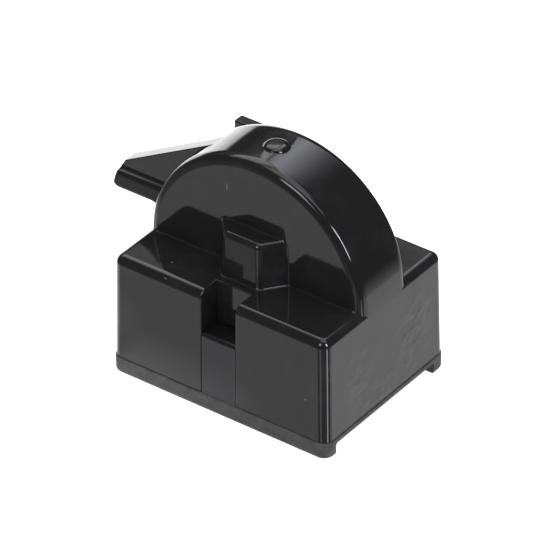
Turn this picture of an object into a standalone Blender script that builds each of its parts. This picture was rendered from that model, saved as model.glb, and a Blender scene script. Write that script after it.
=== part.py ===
"""Plug-on PTC start relay for a compressor, resting on the skids of its base cover.

X runs along the long front face, Y runs from front to back, Z is up and zero is the
underside of the skids. Lengths are in metres. The forms are drawn about the middle of
the block, and the finished part is then centred on the middle of its own plan.
"""
import math

import bmesh
import bpy
from mathutils import Matrix, Vector

MM = 0.001

# Block of the housing, measured at its top plane
BLOCK_LENGTH = 33.1 * MM
BLOCK_DEPTH = 24.95 * MM
BLOCK_TOP = 17.6 * MM
BLOCK_CORNER = 1.35 * MM
BLOCK_EDGE = 1.15 * MM
DRAFT = 0.0153
WALL = 1.8 * MM

# Half-round dome that spans the block from end to end
DOME_SET_IN = 0.05 * MM
DOME_CENTRE_Z = 17.22 * MM
DOME_THICKNESS = 9.5 * MM
DOME_DRAFT = 0.008
DOME_EDGE = 0.85 * MM
DOME_SPRING_ANGLE = math.radians(8)
DOME_WALL = 1.75 * MM

# Nub on the crown of the dome
NUB_BASE_RADIUS = 1.68 * MM
NUB_TOP_RADIUS = 0.98 * MM
NUB_HEIGHT = 0.45 * MM

# Gripping wing on the left of the dome
WING_LIP_WIDTH = 4.3 * MM
WING_WEB_WIDTH = 2.2 * MM
WING_REACH = 8.1 * MM
WING_BOTTOM = 19.17 * MM
WING_LIP_HEIGHT = 2.95 * MM
WING_END_HEIGHT = 3.95 * MM
WING_TOP_STEP = 0.12 * MM
WING_END_LEAN = 1.45 * MM
WING_ROOT_FILLET = 2.2 * MM
WING_TOE_RADIUS = 0.95 * MM
WING_EDGE = 0.35 * MM

# Boss on the front ledge, against the dome
BOSS_FRONT_WIDTH = 5.9 * MM
BOSS_REACH = 3.05 * MM
BOSS_FLANK = 2.4 * MM
BOSS_HEIGHT = 6.4 * MM
BOSS_DRAFT = 0.05
BOSS_EDGE = 0.55 * MM
BOSS_FOOT = 0.25 * MM

# Guard wall on the back ledge
GUARD_LENGTH = 11.5 * MM
GUARD_THICKNESS = 1.95 * MM
GUARD_TOP = 26.3 * MM
GUARD_MARGIN = 2.5 * MM
GUARD_EDGE = 0.35 * MM
GUARD_CORNER = 0.6 * MM

# Snap slots in the front and back walls, and the tongues of the cover in them
SLOT_WIDTH = 5.36 * MM
SLOT_DEPTH = 3.3 * MM
SLOT_WALL = 1.5 * MM
TONGUE_CLEARANCE = 0.2 * MM
TONGUE_TOP = 11.5 * MM
TONGUE_EDGE = 0.5 * MM

# Base cover
SEAM_HEIGHT = 2.4 * MM
SEAM_GAP = 0.2 * MM
COVER_PROUD = 0.15 * MM
COVER_FLANGE = 0.58 * MM
COVER_FOOT_EDGE = 0.45 * MM
COVER_RIM_EDGE = 0.15 * MM
COVER_PLUG = 1.1 * MM
FRONT_SKID_WIDTH = 2.0 * MM
BACK_SKID_WIDTH = 2.6 * MM

# Fit of the loose inner pieces
GAP = 0.3 * MM

# Starting pill
PILL_RADIUS = 10.0 * MM
PILL_THICKNESS = 2.5 * MM
PILL_EDGE = 0.25 * MM
PILL_CENTRE_Z = 18.6 * MM
RIB_WIDTH = 1.2 * MM
RIB_ANGLES = (math.radians(32), math.radians(90), math.radians(148))
SADDLE_WIDTH = 9.0 * MM
SADDLE_THICKNESS = 2.2 * MM

# Pin sleeves
SOCKET_SPACING = 16.0 * MM
SOCKET_OFFSET_Y = -6.2 * MM
SOCKET_BORE = 3.1 * MM
SOCKET_WALL = 0.45 * MM
SOCKET_HEIGHT = 9.0 * MM
SOCKET_FLARE = 0.3 * MM
SOCKET_SLIT = math.radians(36)
PIN_ENTRY = 3.8 * MM
PIN_ENTRY_CHAMFER = 0.45 * MM

# Contact springs
SPRING_GAUGE = 0.3 * MM
SPRING_WIDTH = 11.0 * MM
SPRING_BOTTOM = 13.2 * MM
SPRING_TOP = 24.2 * MM
SPRING_WAVES = 3
SPRING_FINGER_SLIT = 0.8 * MM
SPRING_LEG_WIDTH = 2.4 * MM

# Formed brass pieces
BRASS_GAUGE = 0.8 * MM
BRASS_BEND = 0.9 * MM
FOOT_Z = 5.9 * MM
STRAP_WIDTH = 5.0 * MM
STRAP_TOP = 11.4 * MM
SPADE_WIDTH = 6.3 * MM
SPADE_Y = 7.35 * MM
SPADE_TOP = 25.6 * MM
SPADE_TIP_CHAMFER = 1.1 * MM
SPADE_HOLE = 1.8 * MM
SPADE_HOLE_DROP = 4.2 * MM
SPADE_CLEARANCE = 0.3 * MM

# Sizes that follow from the ones above
HALF_LENGTH = BLOCK_LENGTH / 2
HALF_DEPTH = BLOCK_DEPTH / 2
DOME_RADIUS = HALF_LENGTH - DOME_SET_IN
DOME_HALF = DOME_THICKNESS / 2
DOME_CROWN = DOME_CENTRE_Z + DOME_RADIUS
COVER_TOP = SEAM_HEIGHT - SEAM_GAP
CHANNEL_TOP = COVER_TOP - COVER_FLANGE
CAVITY_X = HALF_LENGTH - WALL
CAVITY_Y = HALF_DEPTH - WALL
CAVITY_TOP = BLOCK_TOP - WALL
SLOT_BACK = HALF_DEPTH - SLOT_DEPTH
SLOT_SHIELD_X = SLOT_WIDTH / 2 + SLOT_WALL
SLOT_SHIELD_Y = SLOT_BACK - SLOT_WALL
CHAMBER_HALF = DOME_HALF - DOME_WALL
CHAMBER_RADIUS = DOME_RADIUS - DOME_WALL
SOCKET_X = SOCKET_SPACING / 2
SOCKET_OUTER = SOCKET_BORE / 2 + SOCKET_WALL
PLUG_TOP = COVER_TOP + COVER_PLUG
SOCKET_BOTTOM = PLUG_TOP + GAP
STRAP_Y = SOCKET_OFFSET_Y + SOCKET_OUTER + GAP + BRASS_GAUGE / 2
GUARD_LEFT = -HALF_LENGTH + GUARD_MARGIN
SPADE_X = GUARD_LEFT + GUARD_LENGTH / 2
FOOT_TOP = FOOT_Z + BRASS_GAUGE / 2
FOOT_UNDER = FOOT_Z - BRASS_GAUGE / 2
SPRING_ROOM = CHAMBER_HALF - PILL_THICKNESS / 2
SPRING_Y = PILL_THICKNESS / 2 + SPRING_ROOM / 2
SPRING_SWING = SPRING_ROOM / 2 - GAP - SPRING_GAUGE / 2
OVERRUN = 2.0 * MM
BURY = 0.6 * MM
FLUSH = 0.02 * MM


def clear_scene():
    for item in list(bpy.data.objects):
        bpy.data.objects.remove(item)


def material(name, colour, roughness, metallic):
    made = bpy.data.materials.new(name)
    made.use_nodes = True
    shader = made.node_tree.nodes["Principled BSDF"]
    shader.inputs["Base Color"].default_value = (*colour, 1.0)
    shader.inputs["Roughness"].default_value = roughness
    shader.inputs["Metallic"].default_value = metallic
    return made


def solid(name, verts, faces):
    """Object from points and faces, with every face turned outwards."""
    mesh = bpy.data.meshes.new(name)
    mesh.from_pydata([tuple(v) for v in verts], [], faces)
    bm = bmesh.new()
    bm.from_mesh(mesh)
    bmesh.ops.recalc_face_normals(bm, faces=bm.faces)
    bm.to_mesh(mesh)
    bm.free()
    made = bpy.data.objects.new(name, mesh)
    bpy.context.scene.collection.objects.link(made)
    return made


def loft(name, rings):
    """Closed body through rings of equal point count, capped at both ends."""
    count = len(rings[0])
    verts = [point for ring in rings for point in ring]
    faces = [tuple(range(count)), tuple(range((len(rings) - 1) * count, len(rings) * count))]
    for level in range(len(rings) - 1):
        low = level * count
        high = low + count
        for i in range(count):
            j = (i + 1) % count
            faces.append((low + i, low + j, high + j, high + i))
    return solid(name, verts, faces)


def prism_y(name, outline, y_low, y_high):
    """Outline given in X and Z, pushed along Y."""
    return loft(name, [[(x, y, z) for x, z in outline] for y in (y_low, y_high)])


def prism_x(name, outline, x_low, x_high):
    """Outline given in Y and Z, pushed along X."""
    return loft(name, [[(x, y, z) for y, z in outline] for x in (x_low, x_high)])


def prism_z(name, outline, z_low, z_high):
    """Outline given in X and Y, pushed along Z."""
    return loft(name, [[(x, y, z) for x, y in outline] for z in (z_low, z_high)])


def box(name, x0, x1, y0, y1, z0, z1):
    return prism_z(name, [(x0, y0), (x1, y0), (x1, y1), (x0, y1)], z0, z1)


def revolve_z(name, profile, x, y, steps):
    """Profile of radius and height turned about an upright axis; it starts and ends on the axis."""
    rings = []
    for radius, z in profile[1:-1]:
        turn = [2 * math.pi * i / steps for i in range(steps)]
        rings.append([(x + radius * math.cos(a), y + radius * math.sin(a), z) for a in turn])
    return loft(name, rings)


def combine(base, tool, operation):
    """Exact Boolean of two bodies; the tool is used up."""
    change = base.modifiers.new(operation.lower(), 'BOOLEAN')
    change.operation = operation
    change.solver = 'EXACT'
    change.object = tool
    bpy.context.view_layer.update()
    evaluated = base.evaluated_get(bpy.context.evaluated_depsgraph_get())
    mesh = bpy.data.meshes.new_from_object(evaluated)
    base.modifiers.clear()
    base.data = mesh
    bpy.data.objects.remove(tool)
    return base


def bevel_edges(body, chosen, width, steps):
    """Round the edges whose two end points both pass the given test."""
    bm = bmesh.new()
    bm.from_mesh(body.data)
    edges = [e for e in bm.edges if len(e.link_faces) == 2 and chosen(e)]
    bmesh.ops.bevel(
        bm, geom=edges, offset=width, segments=steps, profile=0.5, affect='EDGES', clamp_overlap=True
    )
    bmesh.ops.recalc_face_normals(bm, faces=bm.faces)
    bm.to_mesh(body.data)
    bm.free()
    return body


def arc(cx, cz, radius, start, end, steps):
    turn = [start + (end - start) * i / steps for i in range(steps + 1)]
    return [(cx + radius * math.cos(a), cz + radius * math.sin(a)) for a in turn]


def offset_outline(points, inset):
    """Convex outline, anticlockwise, with every side moved inwards."""
    moved = []
    count = len(points)
    for i in range(count):
        a = Vector(points[i])
        b = Vector(points[(i + 1) % count])
        along = (b - a).normalized()
        inward = Vector((-along.y, along.x))
        moved.append((a + inward * inset, along))
    result = []
    for i in range(count):
        p, d = moved[i - 1]
        q, e = moved[i]
        cross = d.x * e.y - d.y * e.x
        t = ((q.x - p.x) * e.y - (q.y - p.y) * e.x) / cross
        result.append(tuple(p + d * t))
    return result


def round_outline(points, radii, steps):
    """Anticlockwise outline with each corner turned into an arc of its own radius."""
    result = []
    count = len(points)
    for i in range(count):
        corner = Vector(points[i])
        before = (Vector(points[i - 1]) - corner).normalized()
        after = (Vector(points[(i + 1) % count]) - corner).normalized()
        half = before.angle(after) / 2
        reach = radii[i] / math.tan(half)
        centre = corner + (before + after).normalized() * (radii[i] / math.sin(half))
        first = corner + before * reach - centre
        last = corner + after * reach - centre
        sweep = math.atan2(first.x * last.y - first.y * last.x, first.dot(last))
        begin = math.atan2(first.y, first.x)
        for k in range(steps + 1):
            a = begin + sweep * k / steps
            result.append((centre.x + radii[i] * math.cos(a), centre.y + radii[i] * math.sin(a)))
    return result


def rectangle(x0, x1, y0, y1):
    return [(x0, y0), (x1, y0), (x1, y1), (x0, y1)]


def at_height(outline, z):
    return [(x, y, z) for x, y in outline]


def drafted(half, z):
    """Half size of the block at a height, wider towards the mould's open side."""
    return half + DRAFT * (BLOCK_TOP - z)


def block_outline(z, inset, steps):
    hx = drafted(HALF_LENGTH, z) - inset
    hy = drafted(HALF_DEPTH, z) - inset
    radius = max(BLOCK_CORNER - inset, 0.1 * MM)
    return round_outline(rectangle(-hx, hx, -hy, hy), [radius] * 4, steps)


def make_block():
    """Drafted block with rounded corners and a rounded upper edge."""
    rings = [at_height(block_outline(SEAM_HEIGHT, 0.0, 6), SEAM_HEIGHT)]
    for k in range(7):
        a = math.pi / 2 * k / 6
        z = BLOCK_TOP - BLOCK_EDGE + BLOCK_EDGE * math.sin(a)
        rings.append(at_height(block_outline(z, BLOCK_EDGE * (1 - math.cos(a)), 6), z))
    return loft("housing", rings)


def dome_outline(inset):
    """Half round that runs down and out to lie flush with the end faces of the block."""
    radius = DOME_RADIUS - inset
    foot = DOME_CENTRE_Z - 0.2 * MM
    low = BLOCK_TOP - 2 * WALL
    points = [
        (drafted(HALF_LENGTH, low) - FLUSH - inset, low),
        (drafted(HALF_LENGTH, foot) - FLUSH - inset, foot),
    ]
    points += arc(0, DOME_CENTRE_Z, radius, DOME_SPRING_ANGLE, math.pi - DOME_SPRING_ANGLE, 52)
    points += [(-x, z) for x, z in reversed(points[:2])]
    return points


def make_dome():
    rings = []
    steps = 4
    for k in range(steps + 1):
        a = math.pi / 2 * k / steps
        rings.append((DOME_EDGE * (1 - math.sin(a)), -DOME_HALF + DOME_EDGE * (1 - math.cos(a))))
    rings += [(inset, -y) for inset, y in reversed(rings)]
    lofted = []
    for inset, y in rings:
        ring = []
        for x, z in dome_outline(inset):
            ring.append((x, y * (1 - DOME_DRAFT * (z - BLOCK_TOP) / DOME_HALF), z))
        lofted.append(ring)
    return loft("dome", lofted)


def make_nub():
    top = DOME_CROWN + NUB_HEIGHT
    profile = [
        (0, DOME_CROWN - BURY),
        (NUB_BASE_RADIUS, DOME_CROWN - BURY),
        (NUB_BASE_RADIUS, DOME_CROWN - 0.06 * MM),
        (NUB_TOP_RADIUS + 0.09 * MM, top - 0.05 * MM),
        (NUB_TOP_RADIUS, top),
        (0, top),
    ]
    return revolve_z("nub", profile, 0, 0, 40)


def wing_end_x(z):
    """Left end of the wing, leaning in towards its top on a shallow curve."""
    rise = max(z - WING_BOTTOM, 0.0) / WING_END_HEIGHT
    return -DOME_RADIUS - WING_REACH + WING_END_LEAN * rise ** 1.9


def wing_touch(corner):
    """Point where a line from the wing's upper corner runs out just above the dome."""
    clear = DOME_RADIUS + WING_TOP_STEP
    out = Vector(corner) - Vector((0, DOME_CENTRE_Z))
    angle = math.atan2(out.y, out.x) - math.acos(clear / out.length)
    return clear * math.cos(angle), DOME_CENTRE_Z + clear * math.sin(angle)


def make_wing():
    """Lip bar along the bottom, and the thin web between it and the dome."""
    lip_top = WING_BOTTOM + WING_LIP_HEIGHT
    root_z = WING_BOTTOM - WING_ROOT_FILLET
    root_x = -math.sqrt(DOME_RADIUS ** 2 - (WING_BOTTOM - DOME_CENTRE_Z) ** 2)
    toe_x = wing_end_x(WING_BOTTOM)
    lip = arc(
        root_x - WING_ROOT_FILLET, root_z, WING_ROOT_FILLET, math.radians(24), math.pi / 2, 8
    )
    lip += arc(
        toe_x + WING_TOE_RADIUS, WING_BOTTOM + WING_TOE_RADIUS, WING_TOE_RADIUS,
        1.5 * math.pi, 1.08 * math.pi, 5
    )
    steps = 5
    toe_top = WING_BOTTOM + WING_TOE_RADIUS
    for k in range(1, steps + 1):
        z = toe_top + (lip_top - toe_top) * k / steps
        lip.append((wing_end_x(z), z))
    inside = -DOME_RADIUS + 3.0 * MM
    lip += [(inside, lip_top), (inside, lip[0][1])]
    half = WING_LIP_WIDTH / 2
    bar = prism_y("lip", lip, -half, half)
    bevel_edges(bar, lambda e: abs(e.verts[0].co.y - e.verts[1].co.y) < 1e-7, WING_EDGE, 3)

    corner_z = WING_BOTTOM + WING_END_HEIGHT
    corner = (wing_end_x(corner_z), corner_z)
    touch = wing_touch(corner)
    web = [(wing_end_x(lip_top) + FLUSH, lip_top - BURY)]
    for k in range(steps + 1):
        z = lip_top + (corner_z - lip_top) * k / steps
        web.append((wing_end_x(z), z))
    web.append(touch)
    web.append((touch[0], touch[1] - 3.0 * MM))
    web.append((inside, lip_top - BURY))
    half = WING_WEB_WIDTH / 2
    plate = prism_y("web", web, -half, half)
    return bar, plate


def boss_outline(inset):
    front = -DOME_HALF - BOSS_REACH
    back = -DOME_HALF + BURY * 1.2
    half = BOSS_FRONT_WIDTH / 2
    wide = half + BOSS_FLANK * (back - front) / BOSS_REACH
    outline = [(-half, front), (half, front), (wide, back), (-wide, back)]
    moved = offset_outline(outline, inset)
    moved[2] = (moved[2][0] + inset * BOSS_FLANK / BOSS_REACH, back)
    moved[3] = (moved[3][0] - inset * BOSS_FLANK / BOSS_REACH, back)
    radius = max(BOSS_EDGE - max(inset, 0.0), 0.12 * MM)
    return round_outline(moved, [radius, radius, 0.05 * MM, 0.05 * MM], 4)


def make_boss():
    rings = [at_height(boss_outline(-BOSS_FOOT), BLOCK_TOP - BURY)]
    for k in range(4):
        a = math.pi / 2 * k / 3
        z = BLOCK_TOP + BOSS_FOOT * (1 - math.cos(a))
        rings.append(at_height(boss_outline(-BOSS_FOOT * (1 - math.sin(a))), z))
    rise = BOSS_HEIGHT - BOSS_EDGE
    for k in range(5):
        a = math.pi / 2 * k / 4
        z = BLOCK_TOP + rise + BOSS_EDGE * math.sin(a)
        inset = BOSS_DRAFT * (z - BLOCK_TOP) + BOSS_EDGE * (1 - math.cos(a)) * 0.8
        rings.append(at_height(boss_outline(inset), z))
    return loft("boss", rings)


def make_guard():
    """Wall that stands behind the spade tab, flush with the back of the block."""
    right = GUARD_LEFT + GUARD_LENGTH
    rings = []
    levels = [(BLOCK_TOP - BLOCK_EDGE - 0.4 * MM, 0.0), (GUARD_TOP - GUARD_EDGE, 0.0)]
    for k in range(1, 4):
        a = math.pi / 2 * k / 3
        levels.append((GUARD_TOP - GUARD_EDGE + GUARD_EDGE * math.sin(a), GUARD_EDGE * (1 - math.cos(a))))
    for z, inset in levels:
        back = drafted(HALF_DEPTH, z) - FLUSH
        front = HALF_DEPTH - GUARD_THICKNESS + DRAFT * (z - BLOCK_TOP)
        lean = DRAFT * (z - BLOCK_TOP)
        outline = rectangle(GUARD_LEFT + lean + inset, right - lean - inset, front + inset, back - inset)
        rings.append(at_height(round_outline(outline, [GUARD_CORNER - inset] * 4, 4), z))
    return loft("guard", rings)


def make_slot(side):
    """Cutter for a snap slot; it leaves the wall between slot and cavity."""
    half = SLOT_WIDTH / 2
    outer = HALF_DEPTH + OVERRUN
    low = SEAM_HEIGHT - OVERRUN
    high = BLOCK_TOP + 0.001 * MM
    y0, y1 = sorted((side * SLOT_BACK, side * outer))
    return box("slot", -half, half, y0, y1, low, high)


def make_cavity():
    """Room under the block, running round the shields of the two slots."""
    room = loft("room", [
        at_height(round_outline(rectangle(
            -CAVITY_X - grow, CAVITY_X + grow, -CAVITY_Y - grow, CAVITY_Y + grow
        ), [1.0 * MM] * 4, 4), z)
        for z, grow in ((SEAM_HEIGHT - OVERRUN, DRAFT * CAVITY_TOP), (CAVITY_TOP, 0.0))
    ])
    for side in (-1, 1):
        y0, y1 = sorted((side * SLOT_SHIELD_Y, side * (CAVITY_Y + OVERRUN)))
        low = SEAM_HEIGHT - 2 * OVERRUN
        shield = box("shield", -SLOT_SHIELD_X, SLOT_SHIELD_X, y0, y1, low, CAVITY_TOP + OVERRUN)
        combine(room, shield, 'DIFFERENCE')
    return room


def make_chamber():
    """Half-round room for the pill, with the ribs that hold the pill's rim left standing."""
    low = CAVITY_TOP - 0.5 * MM
    outline = [(CHAMBER_RADIUS, low)]
    outline += arc(0, DOME_CENTRE_Z, CHAMBER_RADIUS, 0.0, math.pi, 40)
    outline += [(-CHAMBER_RADIUS, low)]
    chamber = prism_y("chamber", outline, -CHAMBER_HALF, CHAMBER_HALF)
    for angle in RIB_ANGLES:
        along = Vector((math.cos(angle), math.sin(angle)))
        across = Vector((-along.y, along.x)) * (RIB_WIDTH / 2)
        start = Vector((0, PILL_CENTRE_Z)) + along * (PILL_RADIUS + GAP)
        end = Vector((0, PILL_CENTRE_Z)) + along * (CHAMBER_RADIUS + 3 * OVERRUN)
        rib = prism_y("rib", [
            tuple(start - across), tuple(end - across), tuple(end + across), tuple(start + across)
        ], -CHAMBER_HALF - OVERRUN, CHAMBER_HALF + OVERRUN)
        combine(chamber, rib, 'DIFFERENCE')
    return chamber


def make_housing():
    housing = make_block()
    combine(housing, make_dome(), 'UNION')
    combine(housing, make_nub(), 'UNION')
    for piece in make_wing():
        combine(housing, piece, 'UNION')
    combine(housing, make_boss(), 'UNION')
    combine(housing, make_guard(), 'UNION')
    for side in (-1, 1):
        combine(housing, make_slot(side), 'DIFFERENCE')
    inside = make_cavity()
    combine(inside, make_chamber(), 'UNION')
    combine(housing, inside, 'DIFFERENCE')
    half_x = SPADE_WIDTH / 2 + SPADE_CLEARANCE
    half_y = BRASS_GAUGE / 2 + SPADE_CLEARANCE
    passage = box(
        "passage", SPADE_X - half_x, SPADE_X + half_x, SPADE_Y - half_y, SPADE_Y + half_y,
        CAVITY_TOP - OVERRUN / 2, BLOCK_TOP + OVERRUN
    )
    combine(housing, passage, 'DIFFERENCE')
    return housing


def cover_outline(z, inset, steps):
    hx = drafted(HALF_LENGTH, SEAM_HEIGHT) + COVER_PROUD - inset
    hy = drafted(HALF_DEPTH, SEAM_HEIGHT) + COVER_PROUD - inset
    radius = BLOCK_CORNER + COVER_PROUD - inset
    return at_height(round_outline(rectangle(-hx, hx, -hy, hy), [radius] * 4, steps), z)


def make_tongue(side):
    """Snap tongue that fills the lower part of a slot, flush with the wall outside."""
    half = SLOT_WIDTH / 2 - TONGUE_CLEARANCE
    inner = SLOT_BACK + GAP
    rings = []
    levels = [(COVER_TOP - 0.4 * MM, 0.0)]
    for k in range(5):
        a = math.pi / 2 * k / 4
        levels.append((TONGUE_TOP - TONGUE_EDGE * (1 - math.sin(a)), TONGUE_EDGE * (1 - math.cos(a))))
    for z, inset in levels:
        outer = drafted(HALF_DEPTH, z) - inset
        y0, y1 = sorted((side * inner, side * outer))
        rings.append(at_height(rectangle(-half, half, y0, y1), z))
    return loft("tongue", rings)


def make_cover():
    rings = []
    for k in range(5):
        a = math.pi / 2 * k / 4
        inset = COVER_FOOT_EDGE * (1 - math.sin(a))
        rings.append(cover_outline(COVER_FOOT_EDGE * (1 - math.cos(a)), inset, 6))
    for k in range(3):
        a = math.pi / 2 * k / 2
        inset = COVER_RIM_EDGE * (1 - math.cos(a))
        rings.append(cover_outline(COVER_TOP - COVER_RIM_EDGE * (1 - math.sin(a)), inset, 6))
    cover = loft("base_cover", rings)

    face_y = drafted(HALF_DEPTH, SEAM_HEIGHT) + COVER_PROUD
    channel = box(
        "channel", -HALF_LENGTH - OVERRUN, HALF_LENGTH + OVERRUN,
        -face_y + FRONT_SKID_WIDTH, face_y - BACK_SKID_WIDTH, -OVERRUN, CHANNEL_TOP
    )
    bevel_edges(
        channel,
        lambda e: all(v.co.z > 0 for v in e.verts) and abs(e.verts[0].co.y - e.verts[1].co.y) < 1e-7,
        0.35 * MM, 3
    )
    combine(cover, channel, 'DIFFERENCE')

    plug = loft("plug", [
        at_height(round_outline(rectangle(
            -CAVITY_X + GAP + inset, CAVITY_X - GAP - inset,
            -CAVITY_Y + GAP + inset, CAVITY_Y - GAP - inset
        ), [0.9 * MM] * 4, 4), z)
        for z, inset in (
            (COVER_TOP - 0.3 * MM, 0.0), (PLUG_TOP - 0.3 * MM, 0.0), (PLUG_TOP, 0.3 * MM)
        )
    ])
    for side in (-1, 1):
        y0, y1 = sorted((side * (SLOT_SHIELD_Y - GAP), side * (HALF_DEPTH + OVERRUN)))
        half = SLOT_SHIELD_X + GAP
        shield = box("shield", -half, half, y0, y1, CHANNEL_TOP - OVERRUN, PLUG_TOP + OVERRUN)
        combine(plug, shield, 'DIFFERENCE')
    combine(cover, plug, 'UNION')

    for side in (-1, 1):
        combine(cover, make_tongue(side), 'UNION')

    saddle = box(
        "saddle", -SADDLE_WIDTH / 2, SADDLE_WIDTH / 2, -SADDLE_THICKNESS / 2, SADDLE_THICKNESS / 2,
        PLUG_TOP - 0.5 * MM, PILL_CENTRE_Z - PILL_RADIUS + 1.0 * MM
    )
    seat = prism_y(
        "seat", arc(0, PILL_CENTRE_Z, PILL_RADIUS + GAP, 0.0, 2 * math.pi, 96)[:-1],
        -SADDLE_THICKNESS, SADDLE_THICKNESS
    )
    combine(saddle, seat, 'DIFFERENCE')
    combine(cover, saddle, 'UNION')

    pad_half = STRAP_WIDTH / 2 - 0.7 * MM
    for centre, y0, y1 in ((SOCKET_X, STRAP_Y, 0.0), (SPADE_X, STRAP_Y, SPADE_Y)):
        pad = box(
            "pad", centre - pad_half, centre + pad_half, y0, y1,
            PLUG_TOP - 0.45 * MM, FOOT_UNDER - GAP
        )
        combine(cover, pad, 'UNION')

    for side in (-1, 1):
        radius = PIN_ENTRY / 2
        profile = [
            (0, 0),
            (radius + PIN_ENTRY_CHAMFER + OVERRUN / 2, CHANNEL_TOP - OVERRUN / 2),
            (radius, CHANNEL_TOP + PIN_ENTRY_CHAMFER),
            (radius, PLUG_TOP + OVERRUN / 4),
            (0, 0),
        ]
        entry = revolve_z("entry", profile, side * SOCKET_X, SOCKET_OFFSET_Y, 36)
        combine(cover, entry, 'DIFFERENCE')
    return cover


def make_pill():
    profile = [
        (PILL_RADIUS - PILL_EDGE, -PILL_THICKNESS / 2),
        (PILL_RADIUS, -PILL_THICKNESS / 2 + PILL_EDGE),
        (PILL_RADIUS, PILL_THICKNESS / 2 - PILL_EDGE),
        (PILL_RADIUS - PILL_EDGE, PILL_THICKNESS / 2),
    ]
    rings = []
    for radius, y in profile:
        rings.append([(x, y, z) for x, z in arc(0, PILL_CENTRE_Z, radius, 0, 2 * math.pi, 72)[:-1]])
    return loft("ptc_disc", rings)


def make_spring(name, side):
    """Wavy leaf pressed between pill and chamber wall, slit into fingers, with a leg to its foot."""
    steps = 12 * SPRING_WAVES
    half = SPRING_WIDTH / 2
    centre = []
    for i in range(steps + 1):
        x = -half + SPRING_WIDTH * i / steps
        y = SPRING_Y + SPRING_SWING * math.cos(2 * math.pi * SPRING_WAVES * i / steps)
        centre.append(Vector((x, y)))
    outer = []
    inner = []
    for i, point in enumerate(centre):
        along = (centre[min(i + 1, steps)] - centre[max(i - 1, 0)]).normalized()
        across = Vector((-along.y, along.x)) * (SPRING_GAUGE / 2)
        outer.append(point + across)
        inner.append(point - across)
    outline = [(p.x, side * p.y) for p in outer + inner[::-1]]
    leaf = prism_z(name, outline, SPRING_BOTTOM, SPRING_TOP)
    for k in range(1, SPRING_WAVES):
        x = -half + SPRING_WIDTH * k / SPRING_WAVES
        slit = box(
            "slit", x - SPRING_FINGER_SLIT / 2, x + SPRING_FINGER_SLIT / 2,
            -CHAMBER_HALF, CHAMBER_HALF, SPRING_BOTTOM + 3.0 * MM, SPRING_TOP + OVERRUN
        )
        combine(leaf, slit, 'DIFFERENCE')
    # the leg leaves the leaf where the wave lies against the chamber wall
    crest = SPRING_Y + SPRING_SWING
    x_end = -side * half
    leg_far = x_end - side * (SPRING_LEG_WIDTH - 0.4 * MM)
    leg_near = x_end + side * 0.4 * MM
    x0, x1 = sorted((leg_far, leg_near))
    y0, y1 = sorted((side * (crest - SPRING_GAUGE / 2), side * (crest + SPRING_GAUGE / 2)))
    leg = box("leg", x0, x1, y0, y1, FOOT_TOP + GAP, SPRING_BOTTOM + 2.2 * MM)
    bevel_edges(
        leg, lambda e: abs(e.verts[0].co.y - e.verts[1].co.y) > 1e-7, 0.35 * MM, 3
    )
    return combine(leaf, leg, 'UNION')


def make_socket(name, side):
    """Rolled sleeve, slit on the side away from its strap and flared at the mouth."""
    x = side * SOCKET_X
    rings = []
    top = SOCKET_BOTTOM + SOCKET_HEIGHT
    levels = (
        (SOCKET_BOTTOM, SOCKET_FLARE),
        (SOCKET_BOTTOM + 0.8 * MM, 0.0),
        (top - 0.6 * MM, 0.0),
        (top, -0.1 * MM),
    )
    start = -math.pi / 2 + SOCKET_SLIT / 2
    end = 1.5 * math.pi - SOCKET_SLIT / 2
    for z, grow in levels:
        outer = arc(x, SOCKET_OFFSET_Y, SOCKET_OUTER + grow, start, end, 32)
        inner = arc(x, SOCKET_OFFSET_Y, SOCKET_BORE / 2 + grow, end, start, 32)
        rings.append(at_height(outer + inner, z))
    return loft(name, rings)


def bent_strip(path, gauge, bend, steps):
    """Outline of a strip that follows a path of straight runs joined by round bends."""
    line = [Vector(path[0])]
    for i in range(1, len(path) - 1):
        corner = Vector(path[i])
        before = (Vector(path[i - 1]) - corner).normalized()
        after = (Vector(path[i + 1]) - corner).normalized()
        half = before.angle(after) / 2
        centre = corner + (before + after).normalized() * (bend / math.sin(half))
        first = corner + before * (bend / math.tan(half)) - centre
        last = corner + after * (bend / math.tan(half)) - centre
        sweep = math.atan2(first.x * last.y - first.y * last.x, first.dot(last))
        begin = math.atan2(first.y, first.x)
        for k in range(steps + 1):
            a = begin + sweep * k / steps
            line.append(centre + Vector((math.cos(a), math.sin(a))) * bend)
    line.append(Vector(path[-1]))
    left = []
    right = []
    for i, point in enumerate(line):
        along = (line[min(i + 1, len(line) - 1)] - line[max(i - 1, 0)]).normalized()
        if 0 < i < len(line) - 1:
            one = (line[i] - line[i - 1]).normalized()
            two = (line[i + 1] - line[i]).normalized()
            along = (one + two).normalized()
            stretch = 1 / max(along.dot(one), 0.5)
        else:
            stretch = 1.0
        across = Vector((-along.y, along.x)) * (gauge / 2 * stretch)
        left.append(point + across)
        right.append(point - across)
    return [tuple(p) for p in left + right[::-1]]


def make_start_strap():
    path = [(STRAP_Y, STRAP_TOP), (STRAP_Y, FOOT_Z), (-PILL_THICKNESS / 2 + GAP, FOOT_Z)]
    outline = bent_strip(path, BRASS_GAUGE, BRASS_BEND, 5)
    return prism_x("start_strap", outline, SOCKET_X - STRAP_WIDTH / 2, SOCKET_X + STRAP_WIDTH / 2)


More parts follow.
